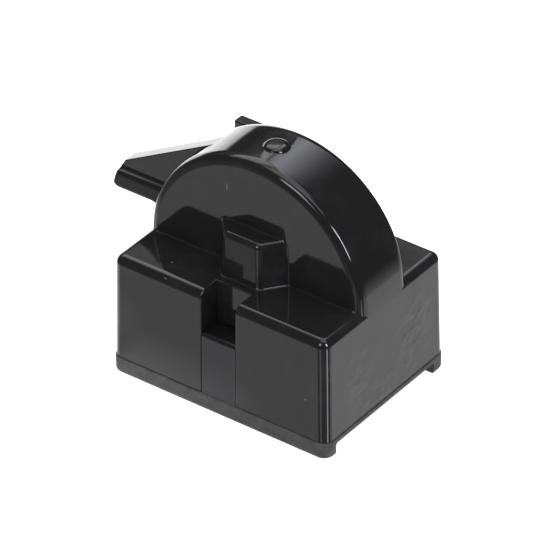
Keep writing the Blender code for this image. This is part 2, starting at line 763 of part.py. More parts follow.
def make_main_terminal():
    """One formed strip: tab against the run sleeve, foot under the pill, spade on the back ledge."""
    path = [(STRAP_Y, STRAP_TOP), (STRAP_Y, FOOT_Z), (SPADE_Y, FOOT_Z), (SPADE_Y, SPADE_TOP)]
    outline = bent_strip(path, BRASS_GAUGE, BRASS_BEND, 5)
    half = SPADE_WIDTH / 2
    terminal = prism_x("main_terminal", outline, SPADE_X - half, SPADE_X + half)
    slim = (SPADE_WIDTH - STRAP_WIDTH) / 2
    for side in (-1, 1):
        edge = SPADE_X + side * half
        x0, x1 = sorted((edge - side * slim, edge + side * OVERRUN))
        trim = box(
            "trim", x0, x1, STRAP_Y - OVERRUN, SPADE_Y - BRASS_BEND - BRASS_GAUGE,
            FOOT_UNDER - OVERRUN, STRAP_TOP + OVERRUN
        )
        combine(terminal, trim, 'DIFFERENCE')
        corner = Vector((edge, SPADE_TOP))
        cut = prism_y("cut", [
            (corner.x - side * SPADE_TIP_CHAMFER * 0.8, corner.y + OVERRUN),
            (corner.x - side * SPADE_TIP_CHAMFER * 0.8, corner.y),
            (corner.x, corner.y - SPADE_TIP_CHAMFER),
            (corner.x + side * OVERRUN, corner.y - SPADE_TIP_CHAMFER),
            (corner.x + side * OVERRUN, corner.y + OVERRUN),
        ], SPADE_Y - OVERRUN, SPADE_Y + OVERRUN)
        combine(terminal, cut, 'DIFFERENCE')
    hole = prism_y(
        "hole", arc(SPADE_X, SPADE_TOP - SPADE_HOLE_DROP, SPADE_HOLE / 2, 0, 2 * math.pi, 24)[:-1],
        SPADE_Y - OVERRUN, SPADE_Y + OVERRUN
    )
    combine(terminal, hole, 'DIFFERENCE')
    return terminal


def finish(body, look):
    mesh = body.data
    mesh.materials.clear()
    mesh.materials.append(look)
    mesh.shade_smooth()
    mesh.set_sharp_from_angle(angle=math.radians(28))


def centre_on_origin(bodies):
    """Move the whole part sideways until its plan is centred on the origin."""
    reach = [v.co.x for body in bodies for v in body.data.vertices]
    shift = Matrix.Translation((-(min(reach) + max(reach)) / 2, 0, 0))
    for body in bodies:
        body.data.transform(shift)


def build():
    clear_scene()
    phenolic = material("glossy_phenolic", (0.012, 0.012, 0.013), 0.22, 0.0)
    nylon = material("satin_nylon", (0.022, 0.022, 0.024), 0.45, 0.0)
    ceramic = material("silvered_ceramic", (0.55, 0.54, 0.52), 0.38, 0.6)
    steel = material("spring_steel", (0.62, 0.61, 0.59), 0.28, 1.0)
    brass = material("tinned_brass", (0.72, 0.66, 0.48), 0.3, 1.0)
    pieces = [
        (make_housing(), phenolic),
        (make_cover(), nylon),
        (make_pill(), ceramic),
        (make_spring("start_spring", -1), steel),
        (make_spring("main_spring", 1), steel),
        (make_socket("start_socket", 1), steel),
        (make_socket("main_socket", -1), steel),
        (make_start_strap(), brass),
        (make_main_terminal(), brass),
    ]
    for body, look in pieces:
        finish(body, look)
    centre_on_origin([body for body, look in pieces])


build()
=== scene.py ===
import math

import bmesh
import bpy
from mathutils import Matrix, Vector


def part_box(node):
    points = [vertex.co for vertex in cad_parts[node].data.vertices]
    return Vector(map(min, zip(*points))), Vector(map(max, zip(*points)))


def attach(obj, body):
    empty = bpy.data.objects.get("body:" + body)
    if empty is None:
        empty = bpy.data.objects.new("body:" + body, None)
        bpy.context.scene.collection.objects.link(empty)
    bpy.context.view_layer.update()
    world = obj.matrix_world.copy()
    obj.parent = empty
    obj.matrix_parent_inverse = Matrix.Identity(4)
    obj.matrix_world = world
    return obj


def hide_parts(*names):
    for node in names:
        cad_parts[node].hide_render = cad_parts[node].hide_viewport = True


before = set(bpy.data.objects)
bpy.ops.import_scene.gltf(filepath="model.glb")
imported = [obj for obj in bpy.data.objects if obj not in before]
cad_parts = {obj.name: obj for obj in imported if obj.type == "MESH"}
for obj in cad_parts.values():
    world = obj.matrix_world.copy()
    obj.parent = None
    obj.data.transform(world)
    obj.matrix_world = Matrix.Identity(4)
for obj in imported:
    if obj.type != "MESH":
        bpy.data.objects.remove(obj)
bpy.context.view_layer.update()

MM = 0.001

# Camera, read from the photograph's perspective
VIEW_OFFSET = Vector((-4.261, 5.123, 9.565)) * MM
VIEW_AZIMUTH = math.radians(36.7647)
VIEW_ELEVATION = math.radians(35.0597)
VIEW_ROLL = math.radians(-0.5362)
VIEW_DISTANCE = 768.93 * MM
VIEW_LENS = 396.18
SENSOR = 36.0


class Value:
    """A shader socket that takes part in Python sums."""

    def __init__(self, look, socket):
        self.look = look
        self.socket = socket

    def _maths(self, operation, first, second):
        return self.look.node("ShaderNodeMath", {"operation": operation}, {0: first, 1: second})

    def __add__(self, other):
        return self._maths("ADD", self, other)

    def __radd__(self, other):
        return self._maths("ADD", other, self)

    def __sub__(self, other):
        return self._maths("SUBTRACT", self, other)

    def __rsub__(self, other):
        return self._maths("SUBTRACT", other, self)

    def __mul__(self, other):
        return self._maths("MULTIPLY", self, other)

    def __rmul__(self, other):
        return self._maths("MULTIPLY", other, self)

    def __pow__(self, other):
        return self._maths("POWER", self, other)

    def __rpow__(self, other):
        return self._maths("POWER", other, self)


class Look:
    """One node tree, of a material or of the world, with a single way to add a node."""

    def __init__(self, owner):
        owner.use_nodes = True
        self.tree = owner.node_tree
        self.tree.nodes.clear()

    def node(self, kind, settings, sockets, output=0):
        """Add a node: its settings first, then a value or a link for each socket."""
        made = self.tree.nodes.new(kind)
        for key, value in settings.items():
            setattr(made, key, value)
        for key, value in sockets.items():
            if isinstance(value, Value):
                self.tree.links.new(value.socket, made.inputs[key])
            else:
                made.inputs[key].default_value = value
        return Value(self, made.outputs[output]) if made.outputs else None


def along(look, place, axis):
    """One coordinate of a place: x, y or z for axis 0, 1 or 2."""
    return look.node("ShaderNodeSeparateXYZ", {}, {0: place}, axis)


def smooth_step(look, value, low, high):
    """From nought at low to one at high, easing in and out."""
    return look.node(
        "ShaderNodeMapRange", {"interpolation_type": 'SMOOTHSTEP'},
        {0: value, 1: low, 2: high, 3: 0.0, 4: 1.0}
    )


def ramp_down(look, value, low, high):
    """From one at low to nought at high."""
    return smooth_step(look, value, high, low)


def band(look, value, low, low_soft, high, high_soft):
    """One between low and high, with a soft margin inside each end."""
    rising = smooth_step(look, value, low, low + low_soft)
    return rising * smooth_step(look, value, high, high - high_soft)


cover_low, cover_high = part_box("base_cover")
MIDDLE_X = (cover_low.x + cover_high.x) / 2


def make_camera():
    """The photograph's view: a long lens, well back from the part and turned a little."""
    data = bpy.data.cameras.new("photo_view")
    data.sensor_width = SENSOR
    data.lens = VIEW_LENS
    data.clip_start = 0.01
    data.clip_end = 20.0
    camera = bpy.data.objects.new("photo_view", data)
    bpy.context.scene.collection.objects.link(camera)
    back = Vector((
        math.sin(VIEW_AZIMUTH) * math.cos(VIEW_ELEVATION),
        -math.cos(VIEW_AZIMUTH) * math.cos(VIEW_ELEVATION),
        math.sin(VIEW_ELEVATION),
    ))
    level = Vector((math.cos(VIEW_AZIMUTH), math.sin(VIEW_AZIMUTH), 0))
    upright = back.cross(level)
    right = math.cos(VIEW_ROLL) * level + math.sin(VIEW_ROLL) * upright
    up = back.cross(right)
    view_point = Vector((MIDDLE_X, 0, 0)) + VIEW_OFFSET
    camera.matrix_world = Matrix.Translation(view_point + back * VIEW_DISTANCE) @ Matrix(
        (right, up, back)
    ).transposed().to_4x4()
    bpy.context.scene.camera = camera


make_camera()
bpy.context.scene.view_settings.view_transform = 'Standard'

# The paper under the part. The glows on it, which only glossy rays see, are placed in
# millimetres to the left (-X) and to the front (-Y) of the block's near corner; a span is
# given as band() takes it
FLOOR_SIZE = 6.0
NEAR_CORNER = Vector((MIDDLE_X + 16.55 * MM, -12.48 * MM, 0))
PAPER = (0.85, 0.85, 0.85, 1)
PAPER_LIFT = 0.86
FRONT_GLOW = 0.8
FRONT_GLOW_REACH = 11.0
FRONT_GLOW_SPAN = (8.0, 24.0, 37.0, 4.0)
LEFT_GLOW = 0.35
LEFT_GLOW_FRONT = (8.0, 16.0)
LEFT_GLOW_LEFT = (34.0, 44.0)


def make_floor():
    """White paper; glossy rays pass on to the studio below, but for two glows beside the part."""
    bm = bmesh.new()
    bmesh.ops.create_grid(bm, x_segments=1, y_segments=1, size=FLOOR_SIZE / 2)
    mesh = bpy.data.meshes.new("floor")
    bm.to_mesh(mesh)
    bm.free()
    floor = bpy.data.objects.new("floor", mesh)
    bpy.context.scene.collection.objects.link(floor)
    paper = bpy.data.materials.new("white_paper")
    look = Look(paper)
    place = look.node("ShaderNodeTexCoord", {}, {}, "Object")
    to_left = (along(look, place, 0) - NEAR_CORNER.x) * (-1 / MM)
    to_front = (along(look, place, 1) - NEAR_CORNER.y) * (-1 / MM)
    front = ramp_down(look, to_front, 0.0, FRONT_GLOW_REACH)
    front = front * band(look, to_left, *FRONT_GLOW_SPAN)
    left = ramp_down(look, to_front, *LEFT_GLOW_FRONT)
    left = left * smooth_step(look, to_left, *LEFT_GLOW_LEFT)
    glows = front * FRONT_GLOW + left * LEFT_GLOW
    glossy = look.node("ShaderNodeLightPath", {}, {}, "Is Glossy Ray")
    camera = look.node("ShaderNodeLightPath", {}, {}, "Is Camera Ray")
    clear = look.node("ShaderNodeBsdfTransparent", {}, {"Color": (1, 1, 1, 1)})
    glow = look.node("ShaderNodeEmission", {}, {"Color": (1, 1, 1, 1), "Strength": glows})
    below = look.node("ShaderNodeAddShader", {}, {0: clear, 1: glow})
    matt = look.node("ShaderNodeBsdfDiffuse", {}, {"Color": PAPER})
    lift = camera * PAPER_LIFT
    shine = look.node("ShaderNodeEmission", {}, {"Color": (1, 1, 1, 1), "Strength": lift})
    lit = look.node("ShaderNodeAddShader", {}, {0: matt, 1: shine})
    both = look.node("ShaderNodeMixShader", {}, {0: glossy, 1: lit, 2: below})
    look.node("ShaderNodeOutputMaterial", {}, {"Surface": both})
    mesh.materials.append(paper)


make_floor()

# Soft boxes of the studio, seen by glossy rays, in degrees: azimuth of the centre; then each
# edge and its softness, left and right from the centre, low and high from the horizon.
# Brightness and tint come last
ROOM_GLOSS = 0.03
COOL = (0.95, 0.95, 1.08)
WHITE = (1.0, 1.0, 1.0)
PANELS = (
    (-114, -33, 3, 40, 38, 34.5, 4, 66, 8, 2.4, WHITE),
    (-131, -30, 8, 32, 12, -60, 5, 8.5, 5, 2.25, WHITE),
    (-131, -30, 8, 32, 12, 18, 8, 37, 8, 0.13, WHITE),
    (-3, -14, 5, 14, 5, 16, 5, 46, 6, 6.0, COOL),
    (69, -12, 4, 16, 4, 30, 2, 40, 2, 13.0, COOL),
    (76, -7, 2.5, 7, 3, 10, 4, 34, 3, 20.0, COOL),
    (78, -14, 6, 14, 6, 50, 5, 74, 6, 2.2, COOL),
    (-74, -18, 6, 18, 8, -89, 5, -24, 6, 0.45, WHITE),
    (-142, -12, 12, 12, 12, 24, 12, 42, 8, 0.42, WHITE),
    (-58, -50, 10, 36, 10, -89, 5, -27, 6, 0.55, WHITE),
    (-58, -50, 10, 36, 10, -89, 5, 0, 26, 0.17, WHITE),
    (150, -54, 16, 60, 20, -89, 5, -12, 19, 1.12, WHITE),
    (36, -70, 20, 60, 20, -89, 5, -18, 8, 0.18, WHITE),
    (76, -9, 5, 9, 5, -60, 5, -22, 8, 4.6, COOL),
    (4, -11, 8, 11, 8, -60, 5, -22, 8, 1.1, COOL),
)
# The big box behind is brightest at one edge and fades away from it
BACK_EDGE = -150.0
BACK_EDGE_INSIDE = 6.0
BACK_EDGE_OUTSIDE = 7.0
BACK_FADE = 50.0
BACK_POWER = 1.8
BACK_RISE = (35.0, 2, 75, 12)
BACK_LEVEL = 3.7
OVERHEAD_RISE = (60.0, 74.0)
OVERHEAD_LEVEL = 1.6
# What matt surfaces see: an even room with a lamp overhead
ROOM_DIFFUSE = 1.3
KEY_RISE = (50.0, 75.0)
KEY_LEVEL = 1.4


def heading(look, x, y, centre):
    """Azimuth in degrees away from centre, 0 toward -Y and 90 toward +X."""
    turn = math.radians(centre)
    across = x * math.cos(turn) + y * math.sin(turn)
    ahead = x * math.sin(turn) - y * math.cos(turn)
    angle = look.node("ShaderNodeMath", {"operation": 'ARCTAN2'}, {0: across, 1: ahead})
    return angle * math.degrees(1)


def add_light(look, glow, level, tint):
    """Add one tinted light to what glossy rays see."""
    lit = look.node("ShaderNodeVectorMath", {"operation": 'SCALE'}, {0: tint, "Scale": level})
    return look.node("ShaderNodeVectorMath", {"operation": 'ADD'}, {0: glow, 1: lit})


def back_box(look, x, y, rise):
    """The box behind, fading as the azimuth falls away from its bright edge."""
    half = BACK_FADE / 2
    angle = heading(look, x, y, BACK_EDGE - half)
    fade = look.node("ShaderNodeMapRange", {}, {0: angle, 1: -half, 2: half, 3: 0.0, 4: 1.0})
    end = ramp_down(look, angle, half - BACK_EDGE_INSIDE, half + BACK_EDGE_OUTSIDE)
    return fade ** BACK_POWER * end * band(look, rise, *BACK_RISE)


def make_world():
    """The studio: soft boxes for glossy rays, an even lit room for the rest, white behind."""
    world = bpy.data.worlds.new("studio")
    bpy.context.scene.world = world
    look = Look(world)
    place = look.node("ShaderNodeTexCoord", {}, {}, "Generated")
    x, y, z = (along(look, place, axis) for axis in range(3))
    rise = look.node("ShaderNodeMath", {"operation": 'ARCSINE'}, {0: z}) * math.degrees(1)
    glow = look.node("ShaderNodeCombineXYZ", {}, {0: ROOM_GLOSS, 1: ROOM_GLOSS, 2: ROOM_GLOSS})
    for centre, *edges, level, tint in PANELS:
        across, upward = edges[:4], edges[4:]
        here = band(look, heading(look, x, y, centre), *across) * band(look, rise, *upward)
        glow = add_light(look, glow, here * level, tint)
    glow = add_light(look, glow, back_box(look, x, y, rise) * BACK_LEVEL, COOL)
    overhead = smooth_step(look, rise, *OVERHEAD_RISE) * OVERHEAD_LEVEL
    glow = add_light(look, glow, overhead, WHITE)
    plain = ROOM_DIFFUSE + smooth_step(look, rise, *KEY_RISE) * KEY_LEVEL
    camera = look.node("ShaderNodeLightPath", {}, {}, "Is Camera Ray")
    glossy = look.node("ShaderNodeLightPath", {}, {}, "Is Glossy Ray")
    level = look.node("ShaderNodeMix", {"data_type": 'FLOAT'}, {0: camera, 2: plain, 3: 1.0})
    colour = look.node("ShaderNodeCombineXYZ", {}, {0: level, 1: level, 2: level})
    shown = look.node("ShaderNodeMix", {"data_type": 'RGBA'}, {0: glossy, 6: colour, 7: glow}, 2)
    back = look.node("ShaderNodeBackground", {}, {"Color": shown, "Strength": 1.0})
    look.node("ShaderNodeOutputWorld", {}, {"Surface": back})


make_world()


# Sizes of the housing. Most are the solids' own; the dome's half thickness, the wing's top, the
# guard, the seam and the small edges are set finer here, to the photograph
HALF_LENGTH = 16.55 * MM
HALF_DEPTH = 12.475 * MM
BLOCK_TOP = 17.6 * MM
BLOCK_CORNER = 1.35 * MM
BLOCK_EDGE = 1.15 * MM
DRAFT = 0.0153
WALL = 1.8 * MM
SEAM = 2.4 * MM
SEAM_GAP = 0.06 * MM
SEAM_EDGE = 0.1 * MM

# Dome; lead-in, core and lead-out shape its corner from the rim to the face
DOME_RADIUS = HALF_LENGTH - 0.05 * MM
DOME_CENTRE_Z = 17.22 * MM
DOME_HALF = 4.87 * MM
DOME_TAPER = 0.008
DOME_STEPS = 200
DOME_FOOT_DROP = 0.2 * MM
DOME_LEAD_IN = 0.9 * MM
DOME_LEAD_TILT = math.radians(22)
DOME_CORE = 0.8 * MM
DOME_LEAD_OUT = 0.8 * MM
DOME_FACE_TILT = math.radians(16)
DOME_SPRING = math.radians(8)
DOME_WALL = 1.75 * MM
DOME_CROWN = DOME_CENTRE_Z + DOME_RADIUS

NUB_PROFILE = (  # radius and height above the crown, in millimetres
    (0.0, 0.45), (0.78, 0.45), (1.02, 0.43), (1.23, 0.385), (1.4, 0.31), (1.53, 0.215),
    (1.615, 0.11), (1.675, 0.0), (1.73, -0.1), (1.73, -0.8), (0.0, -0.8),
)
NUB_FOOT = 1.7 * MM
NUB_FILLET = 0.13 * MM

# Wing: a wide lip below and a narrow web on it
LIP_HALF = 2.15 * MM
WEB_HALF = 1.1 * MM
LIP_TAPER = 0.05
WING_REACH = 8.1 * MM
WING_BOTTOM = 19.17 * MM
LIP_HEIGHT = 2.95 * MM
WING_END_HEIGHT = 3.95 * MM
WING_END_LEAN = 1.45 * MM
WING_END_CURVE = 1.9
WING_INSIDE = -DOME_RADIUS + 3.0 * MM
WING_TOP_STEP = -0.03 * MM
WING_ROOT_FILLET = 2.2 * MM
WING_ROOT_START = math.radians(24)
WING_TOE = 0.95 * MM
WING_TOE_END = 1.08 * math.pi
WING_EDGE = 0.52 * MM
WING_SHOULDER = 0.7 * MM
WING_SHOULDER_START = math.radians(165)
WEB_EDGE = 0.12 * MM
WEB_DEPTH = 3.0 * MM
WING_FILLET = 0.3 * MM
LIP_RIDGE = WEB_HALF - 0.15 * MM
LIP_SLOPE = 0.38 * MM

# Boss, guard wall and slots
BOSS_HALF = 2.95 * MM
BOSS_REACH = 3.05 * MM
BOSS_FLANK = 2.4 * MM
BOSS_HEIGHT = 6.4 * MM
BOSS_DRAFT = 0.05
BOSS_EDGE = 0.5 * MM
BOSS_TOP_EDGE = 0.72 * MM
BOSS_ZONE = 8.0 * MM

GUARD_LEFT = -HALF_LENGTH + 1.7 * MM
GUARD_LENGTH = 12.3 * MM
GUARD_THICKNESS = 1.95 * MM
GUARD_TOP = 26.15 * MM
GUARD_ROOT = 1.5 * MM
GUARD_CORNER = 0.3 * MM
GUARD_EDGE = 0.2 * MM

SLOT_HALF = 2.68 * MM
SLOT_DEPTH = 3.3 * MM
SLOT_WALL = 1.5 * MM
SLOT_EDGE = 0.15 * MM
FILLET = 0.26 * MM

# How far a cutter runs past a face, a form is sunk into the next one, and a form that would
# share a face with another stands back from it
OVERRUN = 2.0 * MM
BURY = 0.7 * MM
FLUSH = 0.02 * MM
DOME_FLUSH = 0.002 * MM
# Margins for picking edges, and the least fold in radians of an edge to be rounded
TINY = 1e-7
CLOSE = 0.05 * MM
NEAR = 0.2 * MM
LEAST_FOLD = 0.5

# What the housing holds, and the hollow for it
PILL_CENTRE_Z = 18.6 * MM
PILL_RADIUS = 10.0 * MM
GAP = 0.3 * MM
RIB_WIDTH = 1.2 * MM
RIB_ANGLES = (math.radians(32), math.radians(90), math.radians(148))

CAVITY_X = HALF_LENGTH - WALL
CAVITY_Y = HALF_DEPTH - WALL
CAVITY_TOP = BLOCK_TOP - WALL
SHIELD_X = SLOT_HALF + SLOT_WALL
SHIELD_Y = HALF_DEPTH - SLOT_DEPTH - SLOT_WALL
CHAMBER_HALF = DOME_HALF - DOME_WALL
CHAMBER_RADIUS = DOME_RADIUS - DOME_WALL
CHAMBER_STEPS = 60
CHAMBER_OVERLAP = 0.5 * MM
ROOM_CORNER = 1.0 * MM

SPADE_X = -HALF_LENGTH + 8.25 * MM
SPADE_Y = 7.35 * MM
SPADE_HALF = 3.15 * MM
SPADE_GAUGE = 0.8 * MM


def as_object(bm, name):
    """Turn a worked mesh into an object, with doubled points merged and faces outward."""
    bmesh.ops.remove_doubles(bm, verts=bm.verts, dist=TINY)
    bmesh.ops.recalc_face_normals(bm, faces=bm.faces)
    mesh = bpy.data.meshes.new(name)
    bm.to_mesh(mesh)
    bm.free()
    made = bpy.data.objects.new(name, mesh)
    bpy.context.scene.collection.objects.link(made)
    return made


def soften(bm, width, segments, chosen, clamp=True):
    """Round every edge whose two end points pass the test."""
    edges = [e for e in bm.edges if chosen(e.verts[0].co, e.verts[1].co)]
    bmesh.ops.bevel(
        bm, geom=edges, offset=width, offset_type='OFFSET', segments=segments, profile=0.5,
        affect='EDGES', clamp_overlap=clamp, material=-1
    )


def cuboid(x0, x1, y0, y1, z0, z1):
    """Box between two values on each axis."""
    bm = bmesh.new()
    bmesh.ops.create_cube(bm, size=1.0)
    bmesh.ops.scale(bm, vec=(x1 - x0, y1 - y0, z1 - z0), verts=bm.verts)
    bmesh.ops.translate(bm, vec=((x0 + x1) / 2, (y0 + y1) / 2, (z0 + z1) / 2), verts=bm.verts)
    return bm


def slab(points, push):
    """Solid between a flat outline and its copy moved by a vector."""
    bm = bmesh.new()
    face = bm.faces.new([bm.verts.new(point) for point in points])
    grown = bmesh.ops.extrude_face_region(bm, geom=[face])
    moved = [item for item in grown["geom"] if isinstance(item, bmesh.types.BMVert)]
    bmesh.ops.translate(bm, verts=moved, vec=push)
    return bm


def round_slab(outline, half, steps):
    """Slab whose two caps grow out in steps, each a little inward and a little sideways."""
    core = half - sum(sideways for inward, sideways in steps)
    bm = slab([(x, -core, z) for x, z in outline], (0, 2 * core, 0))
    bmesh.ops.recalc_face_normals(bm, faces=bm.faces)
    for side in (-1, 1):
        cap = [face for face in bm.faces if face.calc_center_median().y * side > core - TINY]
        for inward, sideways in steps:
            bmesh.ops.inset_region(
                bm, faces=cap, thickness=inward, depth=sideways,
                use_boundary=True, use_even_offset=True
            )
    return bm


def turn_steps(start, end, length, count):
    """Steps along a corner whose tilt goes evenly from one angle to another."""
    tilts = [start + (end - start) * (k + 0.5) / count for k in range(count)]
    return [(math.sin(tilt) * length / count, math.cos(tilt) * length / count) for tilt in tilts]


def combine(base, tool, operation):
    """Join a tool to the base or cut it away; the tool is used up."""
    change = base.modifiers.new(operation.lower(), 'BOOLEAN')
    change.operation = operation
    change.solver = 'EXACT'
    change.object = tool
    bpy.context.view_layer.update()
    changed = base.evaluated_get(bpy.context.evaluated_depsgraph_get())
    base.data = bpy.data.meshes.new_from_object(changed)
    base.modifiers.clear()
    bpy.data.objects.remove(tool)
    return base


def arc(cx, cz, radius, start, end, steps):
    """Points (x, z) along an arc, both ends included."""
    turn = [start + (end - start) * i / steps for i in range(steps + 1)]
    return [(cx + radius * math.cos(a), cz + radius * math.sin(a)) for a in turn]


def widen_down(bm, from_z):
    """Draft: points below a height move outwards."""
    for v in bm.verts:
        out = DRAFT * (from_z - v.co.z)
        v.co.x += math.copysign(out, v.co.x)
        v.co.y += math.copysign(out, v.co.y)


def upright(a, b):
    """Picks the standing edges of a tall block, drafted or not."""
    return abs(a.z - b.z) > MM and abs(a.x - b.x) < MM and abs(a.y - b.y) < MM


def upright_short(a, b):
    """Picks the standing edges of a low step."""
    return abs(a.z - b.z) > MM / 2 and abs(a.x - b.x) < TINY and abs(a.y - b.y) < TINY


def block():
    """The drafted block that the other outer forms stand on."""
    bm = cuboid(-HALF_LENGTH, HALF_LENGTH, -HALF_DEPTH, HALF_DEPTH, SEAM, BLOCK_TOP)
    widen_down(bm, BLOCK_TOP)
    soften(bm, BLOCK_CORNER, 10, upright)
    soften(bm, BLOCK_EDGE, 10, lambda a, b: min(a.z, b.z) > BLOCK_TOP - TINY)
    soften(bm, SEAM_EDGE, 2, lambda a, b: max(a.z, b.z) < SEAM + TINY)
    return as_object(bm, "housing_shell")


def soft_corner():
    """The dome's corner: a slow start on the rim, a tight turn and a slow end on the face."""
    face_tilt = math.pi / 2 - DOME_FACE_TILT
    steps = turn_steps(0, DOME_LEAD_TILT, DOME_LEAD_IN, 6)
    steps += turn_steps(DOME_LEAD_TILT, face_tilt, DOME_CORE * (face_tilt - DOME_LEAD_TILT), 8)
    return steps + turn_steps(face_tilt, math.pi / 2, DOME_LEAD_OUT, 6)


def dome():
    """Half-round form, whose foot runs down into the drafted end faces of the block."""
    low = BLOCK_TOP - 2 * WALL
    foot = DOME_CENTRE_Z - DOME_FOOT_DROP
    side = HALF_LENGTH + DRAFT * (BLOCK_TOP - low) - DOME_FLUSH
    near = HALF_LENGTH + DRAFT * (BLOCK_TOP - foot) - DOME_FLUSH
    outline = [(side, low), (near, foot)]
    outline += arc(
        0, DOME_CENTRE_Z, DOME_RADIUS, DOME_SPRING, math.pi - DOME_SPRING, DOME_STEPS
    )
    outline += [(-near, foot), (-side, low)]
    bm = round_slab(outline, DOME_HALF, soft_corner())
    for v in bm.verts:
        v.co.y *= 1 - DOME_TAPER * (v.co.z - BLOCK_TOP) / DOME_HALF
    return as_object(bm, "dome")


def nub():
    """Small round button on the dome's crown, turned from its profile."""
    bm = bmesh.new()
    points = []
    for radius, height in NUB_PROFILE:
        points.append(bm.verts.new((radius * MM, 0, DOME_CROWN + height * MM)))
    edges = [bm.edges.new(pair) for pair in zip(points, points[1:])]
    bmesh.ops.spin(
        bm, geom=points + edges, cent=(0, 0, 0), axis=(0, 0, 1),
        angle=2 * math.pi, steps=72, use_merge=True
    )
    return as_object(bm, "nub")


def wing_end_x(z):
    """The wing's end, which leans in more and more with height."""
    rise = max(z - WING_BOTTOM, 0.0) / WING_END_HEIGHT
    return -DOME_RADIUS - WING_REACH + WING_END_LEAN * rise ** WING_END_CURVE


def lip_edge(a, b):
    """Edges of the lip's two sides, but for those inside the dome."""
    level = abs(a.y - b.y) < TINY and min(abs(a.y), abs(b.y)) > LIP_HALF - TINY
    return level and min(a.x, b.x) < WING_INSIDE - TINY


def wing_lip():
    """The wing's lower, wider bar, with its rounded toe and the hollow fillet at its root."""
    top = WING_BOTTOM + LIP_HEIGHT
    root_x = -math.sqrt(DOME_RADIUS ** 2 - (WING_BOTTOM - DOME_CENTRE_Z) ** 2)
    toe_x = wing_end_x(WING_BOTTOM)
    outline = arc(
        root_x - WING_ROOT_FILLET, WING_BOTTOM - WING_ROOT_FILLET, WING_ROOT_FILLET,
        WING_ROOT_START, math.pi / 2, 14
    )
    outline += arc(
        toe_x + WING_TOE, WING_BOTTOM + WING_TOE, WING_TOE, 1.5 * math.pi, WING_TOE_END, 8
    )
    steps = 8
    shoulder = top - WING_SHOULDER
    for k in range(1, steps + 1):
        z = WING_BOTTOM + WING_TOE + (LIP_HEIGHT - WING_TOE - WING_SHOULDER) * k / steps
        outline.append((wing_end_x(z), z))
    outline += arc(
        wing_end_x(shoulder) + WING_SHOULDER, shoulder, WING_SHOULDER,
        WING_SHOULDER_START, math.pi / 2, 6
    )
    outline += [(WING_INSIDE, top), (WING_INSIDE, outline[0][1])]
    bm = slab([(x, -LIP_HALF, z) for x, z in outline], (0, 2 * LIP_HALF, 0))
    for side in (-1, 1):
        bmesh.ops.bisect_plane(
            bm, geom=bm.verts[:] + bm.edges[:] + bm.faces[:],
            plane_co=(0, side * LIP_RIDGE, 0), plane_no=(0, 1, 0)
        )
    for v in bm.verts:
        if abs(v.co.y) > LIP_RIDGE + TINY and v.co.z > shoulder:
            v.co.z -= LIP_SLOPE * (v.co.z - shoulder) / WING_SHOULDER
    soften(bm, WING_EDGE, 7, lip_edge, clamp=False)
    for v in bm.verts:
        v.co.y *= 1 - LIP_TAPER * (v.co.z - WING_BOTTOM) / LIP_HALF
    return as_object(bm, "lip")


def wing_web():
    """The narrow upright on the lip, whose sloping top runs on as a tangent of the dome."""
    low = WING_BOTTOM + LIP_HEIGHT
    high = WING_BOTTOM + WING_END_HEIGHT
    steps = 6
    outline = [(wing_end_x(low) + FLUSH, low - BURY)]
    for k in range(steps + 1):
        z = low + (high - low) * k / steps
        outline.append((wing_end_x(z), z))
    corner = Vector(outline[-1]) - Vector((0, DOME_CENTRE_Z))
    clear = DOME_RADIUS + WING_TOP_STEP
    angle = math.atan2(corner.y, corner.x) - math.acos(clear / corner.length)
    touch = (clear * math.cos(angle), DOME_CENTRE_Z + clear * math.sin(angle))
    outline += [touch, (touch[0], touch[1] - WEB_DEPTH), (WING_INSIDE, low - BURY)]
    bm = slab([(x, -WEB_HALF, z) for x, z in outline], (0, 2 * WEB_HALF, 0))
    soften(bm, WEB_EDGE, 3, lambda a, b: abs(a.y - b.y) < TINY and min(a.z, b.z) > low - NEAR / 2)
    return as_object(bm, "web")


def boss():
    """Block on the front ledge with slanting flanks, drafted on its front and sides."""
    front = -DOME_HALF - BOSS_REACH
    back = -DOME_HALF + BURY
    wide = BOSS_HALF + BOSS_FLANK * (back - front) / BOSS_REACH
    low = BLOCK_TOP - BURY
    high = BLOCK_TOP + BOSS_HEIGHT
    outline = [(-BOSS_HALF, front), (BOSS_HALF, front), (wide, back), (-wide, back)]
    bm = slab([(x, y, low) for x, y in outline], (0, 0, high - low))
    for v in bm.verts:
        lean = BOSS_DRAFT * (v.co.z - BLOCK_TOP)
        v.co.x -= math.copysign(lean, v.co.x)
        if v.co.y < -DOME_HALF:
            v.co.y += lean
    soften(bm, BOSS_EDGE, 6, lambda a, b: upright(a, b) and max(a.y, b.y) < -DOME_HALF)
    soften(
        bm, BOSS_TOP_EDGE, 8,
        lambda a, b: min(a.z, b.z) > high - TINY and min(a.y, b.y) < -DOME_HALF
    )
    return as_object(bm, "boss")


def guard():
    """Wall that stands on the back edge beside the spade tab."""
    left = GUARD_LEFT
    right = GUARD_LEFT + GUARD_LENGTH
    bm = cuboid(
        left, right, HALF_DEPTH - GUARD_THICKNESS, HALF_DEPTH - FLUSH,
        BLOCK_TOP - GUARD_ROOT, GUARD_TOP
    )
    for v in bm.verts:
        lean = DRAFT * (v.co.z - BLOCK_TOP)
        v.co.x += lean if v.co.x < (left + right) / 2 else -lean
        v.co.y -= lean if v.co.y > HALF_DEPTH - GUARD_THICKNESS / 2 else -lean
    soften(bm, GUARD_CORNER, 5, upright)
    soften(bm, GUARD_EDGE, 4, lambda a, b: min(a.z, b.z) > GUARD_TOP - TINY)
    return as_object(bm, "guard")


